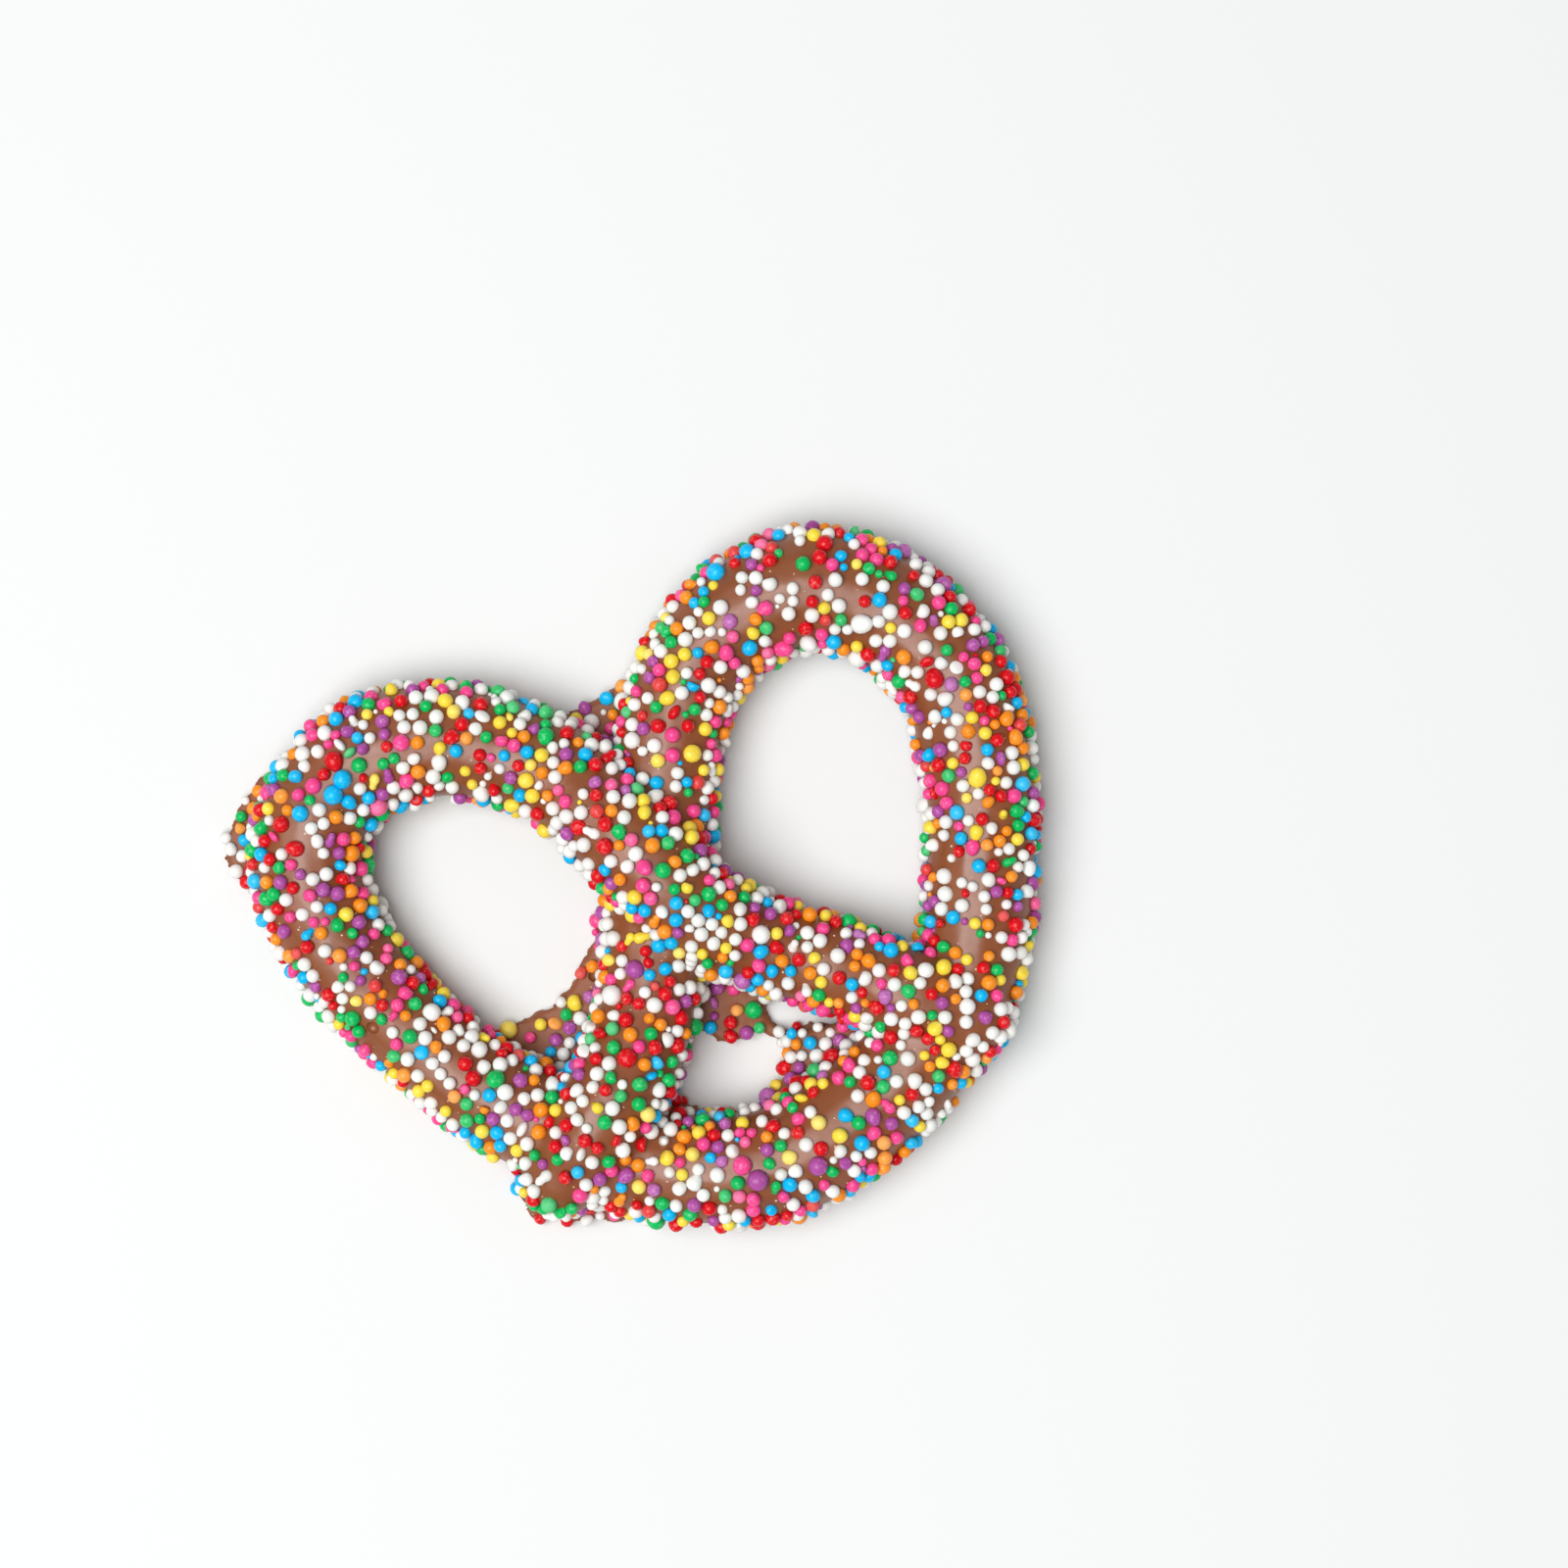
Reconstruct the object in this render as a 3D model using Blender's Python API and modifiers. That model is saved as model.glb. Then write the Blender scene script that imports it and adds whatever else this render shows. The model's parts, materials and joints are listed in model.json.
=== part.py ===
"""A chocolate covered pretzel, for Blender 4.5: blender --background --python part.py

A rope of dough crosses itself once and has both ends pressed down on its bow. Its coat of milk
chocolate has set on a flat sheet, with thin ledges where it ran, and carries sugar pearls. The
largest pearls are fused to the coat, so the whole is one solid. It lies on z = 0, bow at -Y.
"""
import random

import bmesh
import bpy
import numpy as np
from mathutils import Euler, Vector, noise
from mathutils.bvhtree import BVHTree

MM = 0.001

# The coated rope, end to end: x, y, lift of the strand above lying flat, radius, in millimetres.
# It starts at the left end on the bow and goes up under the crossing, round the right lobe, the
# bow and the left lobe, and down over the crossing to the right end on the bow.
ROPE = (
    (-22.4, -20.7, 2.6, 4.5), (-16.5, -16.8, 4.2, 5.1), (-10.5, -11.8, 2.2, 5.4),
    (-6.0, -5.7, 0.6, 5.3), (0.6, 7.5, 0.0, 5.6), (8.0, 20.3, 0.0, 5.6),
    (13.5, 25.2, 0.0, 5.8), (20.8, 27.4, 0.0, 6.2), (28.1, 26.1, 0.0, 6.4),
    (36.4, 14.1, 0.0, 6.0), (36.3, 6.2, 0.0, 6.0), (30.7, -9.8, 0.0, 5.8),
    (26.3, -17.1, 0.0, 5.8), (20.4, -22.2, 0.0, 6.0), (5.9, -28.0, 0.0, 6.2),
    (-1.8, -28.4, 0.0, 6.1), (-16.0, -21.8, 0.0, 5.6), (-21.9, -15.9, 0.0, 5.6),
    (-30.5, -2.7, 0.0, 5.1), (-35.6, 14.3, 0.0, 5.8), (-33.9, 22.3, 0.0, 6.2),
    (-28.4, 27.5, 0.0, 6.0), (-20.8, 28.4, 0.0, 6.2), (-8.3, 21.1, 0.8, 5.6),
    (-1.0, 7.0, 5.2, 5.4), (2.0, -0.6, 4.2, 5.1), (7.0, -6.3, 1.8, 4.9),
    (12.9, -11.4, 1.6, 4.9), (18.7, -16.7, 4.0, 4.9), (24.0, -21.7, 2.6, 5.0),
)
FOOT_SHARE = 0.85  # height of a flat-lying strand's middle, as a share of its radius

# Ledges of chocolate that ran and set on the sheet: height, then outline in plan, in millimetres.
LEDGES = {
    "left_lobe": (1.4, ((-32.9, 29.0), (-36.3, 31.2), (-39.6, 29.3), (-41.9, 27.0),
                        (-43.1, 24.1), (-42.9, 22.4), (-41.6, 21.2), (-37.0, 19.3))),
    "left_hole": (1.4, ((-4.9, 0.6), (-9.1, 2.4), (-9.6, 1.2), (-10.8, -0.3), (-12.3, -0.8),
                        (-13.7, -3.1), (-15.5, -3.5), (-17.2, -4.3), (-20.6, -4.2),
                        (-23.6, -4.6), (-21.9, -9.9), (-16.5, -13.4), (-6.6, -6.1))),
    "notch": (2.0, ((-5.0, 24.4), (1.0, 24.5), (4.6, 25.5), (6.2, 21.6), (1.4, 15.7),
                    (-4.4, 18.1))),
    "small_hole_top": (1.8, ((-0.4, -6.4), (-3.6, -7.3), (-5.7, -10.5), (-4.4, -11.8),
                             (-2.2, -12.5), (-1.4, -14.2), (1.2, -14.7), (3.1, -14.5),
                             (4.0, -13.3), (5.0, -9.8))),
    "small_hole_side": (3.0, ((5.7, -16.7), (4.9, -19.5), (3.3, -21.4), (1.0, -22.3),
                              (6.2, -27.4), (14.3, -21.7), (12.4, -18.2))),
    "small_hole_foot": (2.4, ((-6.7, -14.1), (-8.9, -17.4), (-8.2, -19.9), (-5.5, -21.4),
                              (-13.2, -22.3))),
    "left_end": (1.8, ((-26.2, -19.0), (-27.9, -21.5), (-27.2, -23.9), (-23.3, -26.1),
                       (-18.0, -28.3), (-12.0, -28.4), (-12.0, -24.4), (-18.9, -19.2))),
}
LEDGE_GROWTH = 0.3  # what an outline gains for what the fillets take off its edge
# A thread of chocolate across the small hole's corner: x, y, height of its middle, radius.
THREAD = (
    (-0.1, -11.1, 0.6, 0.9), (2.6, -12.8, 0.6, 0.9), (5.1, -16.5, 0.6, 0.9),
    (8.6, -17.5, 0.6, 0.9), (13.6, -19.2, 0.6, 0.9),
)

# The coat: fineness of its mesh, passes that fillet the joints, how far the uncut shape reaches
# below the table, and the triangles kept at the end.
VOXEL = 0.4
FILLET_PASSES = 14
SUNK = 1.0
COAT_TRIANGLES = 3200

# Sugar pearls, in millimetres: how many, how large, and how they sit in the chocolate.
PEARL_SEED = 12
PEARLS_ON_COAT = 2100
PEARLS_FUSED = 195
PEARL_RADIUS = 0.71
PEARL_SPREAD = 0.08       # standard deviation of the radius
PEARL_GAP = 0.04          # least gap between two pearls
PEARL_RISE = (0.15, 0.5)  # height of a pearl's middle above the coat, as a share of its radius
PEARL_ROLLS = 4           # times a pearl that lands on another rolls off it before it is lost
CATCH = 0.8               # a pearl that falls this near to the coat is caught by it
PATCH_SIZE = 4.5          # breadth of the patches that hold fewer or more pearls
PATCH_SHARE = (0.7, 0.6)  # share of pearls that a middling patch keeps, and how far it swings
FALL_SHARE = 0.8          # share that a wall keeps of what the same patch would keep facing up
UNDERSIDE = -0.6          # no pearl where the coat's normal points down further than this


def clear_scene():
    """Remove every object, so that the script can run again in an open file."""
    for old in list(bpy.data.objects):
        bpy.data.objects.remove(old, do_unlink=True)


def new_collection(name):
    """Add a collection of this name to the scene."""
    collection = bpy.data.collections.new(name)
    bpy.context.scene.collection.children.link(collection)
    return collection


def add_object(name, data, collection):
    """Add an object that shows this curve or mesh to a collection."""
    added = bpy.data.objects.new(name, data)
    collection.objects.link(added)
    return added


def mesh_of(shell, name):
    """A mesh made from a bmesh, which is freed."""
    mesh = bpy.data.meshes.new(name)
    shell.to_mesh(mesh)
    shell.free()
    return mesh


def baked(source):
    """Replace an object by a plain mesh of its evaluated shape, with a curve's caps welded."""
    evaluated = source.evaluated_get(bpy.context.evaluated_depsgraph_get())
    shell = bmesh.new()
    shell.from_mesh(bpy.data.meshes.new_from_object(evaluated))
    bmesh.ops.remove_doubles(shell, verts=shell.verts, dist=0.001 * MM)
    name = source.name
    place = source.matrix_world.copy()
    collection = source.users_collection[0]
    bpy.data.objects.remove(source)
    solid = add_object(name, mesh_of(shell, name), collection)
    solid.matrix_world = place
    return solid


def strand(name, knots, collection):
    """A round strand through the knots (x, y, z, radius), with round ends."""
    curve = bpy.data.curves.new(name, "CURVE")
    curve.dimensions = "3D"
    curve.bevel_depth = MM
    curve.bevel_resolution = 5
    curve.use_fill_caps = True
    spline = curve.splines.new("BEZIER")
    spline.bezier_points.add(len(knots) - 1)
    for point, (x, y, z, radius) in zip(spline.bezier_points, knots):
        point.co = Vector((x, y, z)) * MM
        point.radius = radius
        point.handle_left_type = "AUTO"
        point.handle_right_type = "AUTO"
    pieces = [baked(add_object(name, curve, collection))]
    for x, y, z, radius in (knots[0], knots[-1]):
        shell = bmesh.new()
        bmesh.ops.create_uvsphere(shell, u_segments=24, v_segments=12, radius=radius * MM)
        end = add_object(f"{name}_end", mesh_of(shell, "end"), collection)
        end.location = Vector((x, y, z)) * MM
        pieces.append(end)
    return pieces


def ledge(name, height, outline, collection):
    """A plate of chocolate on the table, of this height and outline in plan."""
    curve = bpy.data.curves.new(name, "CURVE")
    curve.dimensions = "2D"
    curve.fill_mode = "BOTH"
    curve.extrude = (height + SUNK) / 2 * MM
    curve.offset = LEDGE_GROWTH * MM
    spline = curve.splines.new("POLY")
    spline.points.add(len(outline) - 1)
    for point, (x, y) in zip(spline.points, outline):
        point.co = (x * MM, y * MM, 0.0, 1.0)
    spline.use_cyclic_u = True
    plate = add_object(name, curve, collection)
    plate.location.z = (height - SUNK) / 2 * MM
    return baked(plate)


def joined(name, pieces, collection):
    """One object that holds the meshes of all the pieces, which are removed."""
    shell = bmesh.new()
    bpy.context.view_layer.update()
    for piece in pieces:
        piece.data.transform(piece.matrix_world)
        shell.from_mesh(piece.data)
        bpy.data.objects.remove(piece)
    return add_object(name, mesh_of(shell, name), collection)


def cut_flat(mesh):
    """Cut off what lies below the table and close the cut with a flat foot."""
    shell = bmesh.new()
    shell.from_mesh(mesh)
    bmesh.ops.bisect_plane(
        shell,
        geom=shell.verts[:] + shell.edges[:] + shell.faces[:],
        dist=0.001 * MM,
        plane_co=(0.0, 0.0, 0.0),
        plane_no=(0.0, 0.0, 1.0),
        clear_inner=True,
    )
    rim = [edge for edge in shell.edges if edge.is_boundary]
    bmesh.ops.triangle_fill(shell, edges=rim, use_beauty=True)
    bmesh.ops.recalc_face_normals(shell, faces=shell.faces)
    shell.to_mesh(mesh)
    shell.free()


def coated_rope(name, collection):
    """The coated rope with its ledges and thread, filleted where they meet, before its cut."""
    knots = [(x, y, lift + radius * FOOT_SHARE, radius) for x, y, lift, radius in ROPE]
    pieces = strand("rope", knots, collection) + strand("thread", THREAD, collection)
    for place, (height, outline) in LEDGES.items():
        pieces.append(ledge(f"ledge_{place}", height, outline, collection))
    coat = joined(name, pieces, collection)
    merge = coat.modifiers.new("merge", "REMESH")
    merge.mode = "VOXEL"
    merge.voxel_size = VOXEL * MM
    fillet = coat.modifiers.new("fillet", "SMOOTH")
    fillet.iterations = FILLET_PASSES
    return baked(coat)


def caught(tree, point, rng):
    """Whether the coat keeps a pearl that falls at this point, in millimetres."""
    place, normal, _, _ = tree.find_nearest(point, CATCH)
    if place is None or normal.z < UNDERSIDE:
        return False
    middling, swing = PATCH_SHARE
    share = middling + swing * noise.noise(place / PATCH_SIZE)
    return rng.random() < share * (FALL_SHARE + (1.0 - FALL_SHARE) * normal.z)


def settled(tree, point, radius, rise, centres, radii):
    """The middle of a pearl that rolls to rest from this point, or None where it finds no room."""
    for _ in range(PEARL_ROLLS):
        place, normal, _, _ = tree.find_nearest(point)
        centre = place + normal * (rise * radius)
        if centre.z < radius or normal.z < UNDERSIDE:
            return None
        gaps = np.linalg.norm(centres - np.array(centre), axis=1) - radii - radius
        if not len(gaps) or gaps.min() >= PEARL_GAP:
            return centre
        nearest = int(gaps.argmin())
        below = Vector(centres[nearest])
        reach = radii[nearest] + radius + 2.0 * PEARL_GAP
        point = below + (centre - below).normalized() * reach
    return None


def pearl_places(mesh, count):
    """Middles and radii of the first pearls on the coat, largest first, in millimetres."""
    tree = BVHTree.FromPolygons(
        [vertex.co / MM for vertex in mesh.vertices],
        [tuple(face.vertices) for face in mesh.polygons],
    )
    corners = np.array([vertex.co for vertex in mesh.vertices]) / MM
    low = corners.min(axis=0) - CATCH
    high = corners.max(axis=0) + CATCH
    rng = random.Random(PEARL_SEED)
    drawn = sorted((rng.gauss(PEARL_RADIUS, PEARL_SPREAD) for _ in range(PEARLS_ON_COAT)), reverse=True)
    centres = np.empty((0, 3))
    radii = np.empty(0)
    while len(radii) < count:
        point = Vector([rng.uniform(a, b) for a, b in zip(low, high)])
        if not caught(tree, point, rng):
            continue
        radius = drawn[len(radii)]
        centre = settled(tree, point, radius, rng.uniform(*PEARL_RISE), centres, radii)
        if centre is not None:
            centres = np.vstack([centres, centre])
            radii = np.append(radii, radius)
    return centres, radii


def pearl_objects(centres, radii, collection):
    """A 20-sided pearl at each place, turned at random, all sharing one mesh."""
    rng = random.Random(PEARL_SEED)
    shell = bmesh.new()
    bmesh.ops.create_icosphere(shell, subdivisions=1, radius=MM)
    mesh = mesh_of(shell, "pearl")
    for centre, radius in zip(centres, radii):
        pearl = add_object("pearl", mesh, collection)
        pearl.location = Vector(centre) * MM
        pearl.rotation_euler = Euler([rng.uniform(0.0, 3.14) for _ in range(3)])
        pearl.scale = (radius, radius, radius)


def thinned(coat):
    """The coat with few triangles, cut flat below."""
    triangles = sum(len(face.vertices) - 2 for face in coat.data.polygons)
    thin = coat.modifiers.new("thin", "DECIMATE")
    thin.ratio = COAT_TRIANGLES / triangles
    coat = baked(coat)
    cut_flat(coat.data)
    return coat


def fused(coat, pearls):
    """The coat united with the pearls in a collection, which are then removed."""
    union = coat.modifiers.new("fuse", "BOOLEAN")
    union.operation = "UNION"
    union.operand_type = "COLLECTION"
    union.collection = pearls
    whole = baked(coat)
    for pearl in list(pearls.objects):
        bpy.data.objects.remove(pearl)
    bpy.data.collections.remove(pearls)
    return whole


def keep_largest(mesh):
    """Drop every loose scrap and sealed hollow: all but the largest connected surface."""
    shell = bmesh.new()
    shell.from_mesh(mesh)
    unseen = set(shell.verts)
    surfaces = []
    while unseen:
        surface = set()
        edge = [unseen.pop()]
        while edge:
            vertex = edge.pop()
            surface.add(vertex)
            for link in vertex.link_edges:
                other = link.other_vert(vertex)
                if other in unseen:
                    unseen.remove(other)
                    edge.append(other)
        surfaces.append(surface)
    surfaces.sort(key=len)
    scraps = [vertex for surface in surfaces[:-1] for vertex in surface]
    bmesh.ops.delete(shell, geom=scraps, context="VERTS")
    bmesh.ops.triangulate(shell, faces=shell.faces)
    shell.to_mesh(mesh)
    shell.free()


def milk_chocolate():
    """Semi-gloss milk chocolate."""
    material = bpy.data.materials.new("milk_chocolate")
    material.use_nodes = True
    shader = material.node_tree.nodes["Principled BSDF"]
    shader.inputs["Base Color"].default_value = (0.342, 0.130, 0.074, 1.0)
    shader.inputs["Roughness"].default_value = 0.42
    shader.inputs["Metallic"].default_value = 0.0
    return material


def main():
    """Build the pretzel as one node."""
    clear_scene()
    part = new_collection("chocolate_covered_pretzel")
    pearls = new_collection("pearls")
    coat = coated_rope("pretzel", part)
    centres, radii = pearl_places(coat.data, PEARLS_FUSED)
    pearl_objects(centres, radii, pearls)
    pretzel = fused(thinned(coat), pearls)
    keep_largest(pretzel.data)
    pretzel.data.materials.clear()
    pretzel.data.materials.append(milk_chocolate())
    pretzel.data.shade_smooth()
    pretzel.data.set_sharp_from_angle(angle=0.6)


main()
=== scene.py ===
"""The looks of a chocolate covered pretzel with sugar pearls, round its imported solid."""

import json
import math
import random

import bmesh
import bpy
import numpy as np
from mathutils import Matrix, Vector, noise
from mathutils.bvhtree import BVHTree

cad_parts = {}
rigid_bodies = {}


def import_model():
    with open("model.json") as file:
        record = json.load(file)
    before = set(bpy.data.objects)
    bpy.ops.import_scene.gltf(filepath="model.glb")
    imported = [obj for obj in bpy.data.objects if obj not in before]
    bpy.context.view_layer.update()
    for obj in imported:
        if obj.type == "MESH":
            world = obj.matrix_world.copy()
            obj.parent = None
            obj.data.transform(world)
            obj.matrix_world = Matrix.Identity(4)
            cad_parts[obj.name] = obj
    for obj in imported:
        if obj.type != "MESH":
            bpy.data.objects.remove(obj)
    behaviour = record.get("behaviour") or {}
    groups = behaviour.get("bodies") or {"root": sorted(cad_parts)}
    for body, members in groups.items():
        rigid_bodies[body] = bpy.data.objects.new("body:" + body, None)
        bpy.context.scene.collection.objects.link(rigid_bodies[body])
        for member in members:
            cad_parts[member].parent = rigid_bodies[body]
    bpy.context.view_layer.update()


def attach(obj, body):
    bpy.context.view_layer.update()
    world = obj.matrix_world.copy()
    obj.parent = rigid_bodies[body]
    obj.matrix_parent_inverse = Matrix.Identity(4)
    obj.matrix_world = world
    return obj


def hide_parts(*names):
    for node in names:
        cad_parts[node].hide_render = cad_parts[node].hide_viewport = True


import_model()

# ------------------------------------------------------------------------------ the coat
# A knotted rope of hard baked dough, dipped in milk chocolate and set on a flat sheet. The
# coat fillets the joints of the rope, sets with a flat foot, and ran out into thin ledges
# whose edges broke where the pretzel was lifted off.

MM = 0.001
# The coated rope, end to end: x, y, lift of the strand above lying flat, radius, in millimetres.
ROPE = (
    (-22.4, -20.7, 2.6, 4.5), (-16.5, -16.8, 4.2, 5.1), (-10.5, -11.8, 2.2, 5.4),
    (-6.0, -5.7, 0.6, 5.3), (0.6, 7.5, 0.0, 5.6), (8.0, 20.3, 0.0, 5.6),
    (13.5, 25.2, 0.0, 5.8), (20.8, 27.4, 0.0, 6.2), (28.1, 26.1, 0.0, 6.4),
    (36.4, 14.1, 0.0, 6.0), (36.3, 6.2, 0.0, 6.0), (30.7, -9.8, 0.0, 5.8),
    (26.3, -17.1, 0.0, 5.8), (20.4, -22.2, 0.0, 6.0), (5.9, -28.0, 0.0, 6.2),
    (-1.8, -28.4, 0.0, 6.1), (-16.0, -21.8, 0.0, 5.6), (-21.9, -15.9, 0.0, 5.6),
    (-30.5, -2.7, 0.0, 5.1), (-35.6, 14.3, 0.0, 5.8), (-33.9, 22.3, 0.0, 6.2),
    (-28.4, 27.5, 0.0, 6.0), (-20.8, 28.4, 0.0, 6.2), (-8.3, 21.1, 0.8, 5.6),
    (-1.0, 7.0, 5.2, 5.4), (2.0, -0.6, 4.2, 5.1), (7.0, -6.3, 1.8, 4.9),
    (12.9, -11.4, 1.6, 4.9), (18.7, -16.7, 4.0, 4.9), (24.0, -21.7, 2.6, 5.0),
)
FOOT_SHARE = 0.85  # height of a flat-lying strand's middle, as a share of its radius
# Ledges of chocolate that ran and set on the sheet: height, then outline in plan, in millimetres.
LEDGES = {
    "left_lobe": (1.4, ((-32.9, 29.0), (-36.3, 31.2), (-39.6, 29.3), (-41.9, 27.0),
                        (-43.1, 24.1), (-42.9, 22.4), (-41.6, 21.2), (-37.0, 19.3))),
    "left_hole": (1.4, ((-4.9, 0.6), (-9.1, 2.4), (-9.6, 1.2), (-10.8, -0.3), (-12.3, -0.8),
                        (-13.7, -3.1), (-15.5, -3.5), (-17.2, -4.3), (-20.6, -4.2),
                        (-23.6, -4.6), (-21.9, -9.9), (-16.5, -13.4), (-6.6, -6.1))),
    "notch": (2.0, ((-5.0, 24.4), (1.0, 24.5), (4.6, 25.5), (6.2, 21.6), (1.4, 15.7),
                    (-4.4, 18.1))),
    "small_hole_top": (1.8, ((-0.4, -6.4), (-3.6, -7.3), (-5.7, -10.5), (-4.4, -11.8),
                             (-2.2, -12.5), (-1.4, -14.2), (1.2, -14.7), (3.1, -14.5),
                             (4.0, -13.3), (5.0, -9.8))),
    "small_hole_side": (3.0, ((5.7, -16.7), (4.9, -19.5), (3.3, -21.4), (1.0, -22.3),
                              (6.2, -27.4), (14.3, -21.7), (12.4, -18.2))),
    "small_hole_foot": (2.4, ((-6.7, -14.1), (-8.9, -17.4), (-8.2, -19.9), (-5.5, -21.4),
                              (-13.2, -22.3))),
    "left_end": (1.8, ((-26.2, -19.0), (-27.9, -21.5), (-27.2, -23.9), (-23.3, -26.1),
                       (-18.0, -28.3), (-12.0, -28.4), (-12.0, -24.4), (-18.9, -19.2))),
}
LEDGE_GROWTH = 0.3  # what an outline gains for what the fillets take off its edge
# A thread of chocolate across the small hole's corner: x, y, height of its middle, radius.
THREAD = (
    (-0.1, -11.1, 0.6, 0.9), (2.6, -12.8, 0.6, 0.9), (5.1, -16.5, 0.6, 0.9),
    (8.6, -17.5, 0.6, 0.9), (13.6, -19.2, 0.6, 0.9),
)
SECTION_STEPS = 5      # steps in a quarter of a strand's section
END_STEPS = (24, 12)   # steps round and along the ball at a strand's end
WELD = 0.001           # points nearer than this are one
COAT_VOXEL = 0.4
FILLET_PASSES = 14
SUNK = 1.0             # how far the uncut coat reaches below the table

# Unevenness, as breadths and heights in millimetres: of the whole coat, of a ledge's top
# besides, and of the broken edges in plan.
LUMPS = ((9.0, 0.16), (3.2, 0.09), (1.3, 0.035))
LEDGE_LUMPS = ((2.4, 0.24), (1.0, 0.12), (0.5, 0.05))
BROKEN_EDGE = ((2.2, 0.5), (0.9, 0.3), (0.45, 0.1))
EDGE_LEAN = 0.4             # how much of a broken edge's unevenness goes with height
LEDGE_TOP = 3.2             # no broken edge above this height
CLEAR_OF_ROPE = (0.3, 1.1)  # an edge this far out from the rope is broken
STEEP = (0.25, 0.8)         # if it faces sideways: 0 is level and 1 upright
FOOT_RIM = 0.15             # the lowest band, as smooth as the foot

# Pits that lost pearls left: x and y in millimetres, the pearl's radius, and how far its middle
# stood above the coat.
PITS = ((-35.0, 1.6, 0.72, 0.1), (-11.4, -2.6, 0.7, 0.25), (-8.4, 1.3, 0.6, 0.25))
PIT_REACH = 1.5    # the mesh is finer within this many radii of a pit's middle
PIT_CUTS = 3       # cuts across a face of the coat there
ABOVE_ALL = 99.0   # height from which the coat's top is looked for
CREASE = 0.9       # folds sharper than this, in radians, stay sharp

CHOCOLATE = (0.280, 0.0810, 0.0205)
CHOCOLATE_DARK = (0.197, 0.0505, 0.0118)
CHOCOLATE_BROKEN = (0.330, 0.125, 0.055)
# Breadths of the coat's patterns: clouds of tone, fine grain, waves of the skin, and the grain
# where it broke. Then its least roughness, and the height of its relief.
CLOUDS = 6.0
FINE_GRAIN = 0.5
SKIN_WAVES = 1.1
BROKEN_GRAIN = 0.3
SATIN = 0.28
COAT_RELIEF = 0.12


def add_object(name, data):
    """Add an object that shows this curve or mesh to the scene."""
    added = bpy.data.objects.new(name, data)
    bpy.context.scene.collection.objects.link(added)
    return added


def mesh_of(shell, name):
    """A mesh made from a bmesh, which is freed."""
    mesh = bpy.data.meshes.new(name)
    shell.to_mesh(mesh)
    shell.free()
    return mesh


def baked(source):
    """Replace an object by a plain mesh of its evaluated shape, with a curve's caps welded."""
    evaluated = source.evaluated_get(bpy.context.evaluated_depsgraph_get())
    shell = bmesh.new()
    shell.from_mesh(bpy.data.meshes.new_from_object(evaluated))
    bmesh.ops.remove_doubles(shell, verts=shell.verts, dist=WELD * MM)
    name = source.name
    place = source.matrix_world.copy()
    bpy.data.objects.remove(source)
    solid = add_object(name, mesh_of(shell, name))
    solid.matrix_world = place
    return solid


def joined(name, pieces):
    """One object at the origin that holds the meshes of all the pieces, which are removed."""
    shell = bmesh.new()
    bpy.context.view_layer.update()
    for piece in pieces:
        piece.data.transform(piece.matrix_world)
        shell.from_mesh(piece.data)
        bpy.data.objects.remove(piece)
    return add_object(name, mesh_of(shell, name))


def strand(name, knots):
    """A round strand through the knots (x, y, z, radius), with round ends."""
    curve = bpy.data.curves.new(name, "CURVE")
    curve.dimensions = "3D"
    curve.bevel_depth = MM
    curve.bevel_resolution = SECTION_STEPS
    curve.use_fill_caps = True
    spline = curve.splines.new("BEZIER")
    spline.bezier_points.add(len(knots) - 1)
    for point, (x, y, z, radius) in zip(spline.bezier_points, knots):
        point.co = Vector((x, y, z)) * MM
        point.radius = radius
        point.handle_left_type = "AUTO"
        point.handle_right_type = "AUTO"
    pieces = [baked(add_object(name, curve))]
    around, along = END_STEPS
    for x, y, z, radius in (knots[0], knots[-1]):
        shell = bmesh.new()
        bmesh.ops.create_uvsphere(
            shell, u_segments=around, v_segments=along, radius=radius * MM
        )
        end = add_object(f"{name}_end", mesh_of(shell, "end"))
        end.location = Vector((x, y, z)) * MM
        pieces.append(end)
    return pieces


def ledge(name, height, outline):
    """A plate of chocolate on the table, of this height and outline in plan."""
    curve = bpy.data.curves.new(name, "CURVE")
    curve.dimensions = "2D"
    curve.fill_mode = "BOTH"
    curve.extrude = (height + SUNK) / 2 * MM
    curve.offset = LEDGE_GROWTH * MM
    spline = curve.splines.new("POLY")
    spline.points.add(len(outline) - 1)
    for point, (x, y) in zip(spline.points, outline):
        point.co = (x * MM, y * MM, 0.0, 1.0)
    spline.use_cyclic_u = True
    plate = add_object(name, curve)
    plate.location.z = (height - SUNK) / 2 * MM
    return baked(plate)


def surface_of(mesh):
    """The tree that finds the nearest point on a mesh, in millimetres."""
    return BVHTree.FromPolygons(
        [vertex.co / MM for vertex in mesh.vertices],
        [tuple(face.vertices) for face in mesh.polygons],
    )


def top_of(tree, x, y):
    """The coat's point that is seen from above at this place, and its normal."""
    place, normal, _, _ = tree.ray_cast(Vector((x, y, ABOVE_ALL)), Vector((0.0, 0.0, -1.0)))
    return place, normal


def uneven(place, waves):
    """How far noise of these breadths and heights raises this place."""
    return sum(noise.noise(place / breadth) * height for breadth, height in waves)


def smoothstep(low, high, value):
    """0 below low, 1 above high, and a smooth rise between."""
    share = min(max((value - low) / (high - low), 0.0), 1.0)
    return share * share * (3.0 - 2.0 * share)


def mark_points(mesh, name, marks):
    """Keep a number for each point of a mesh."""
    mesh.attributes.new(name, "FLOAT", "POINT").data.foreach_set("value", marks)


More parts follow.
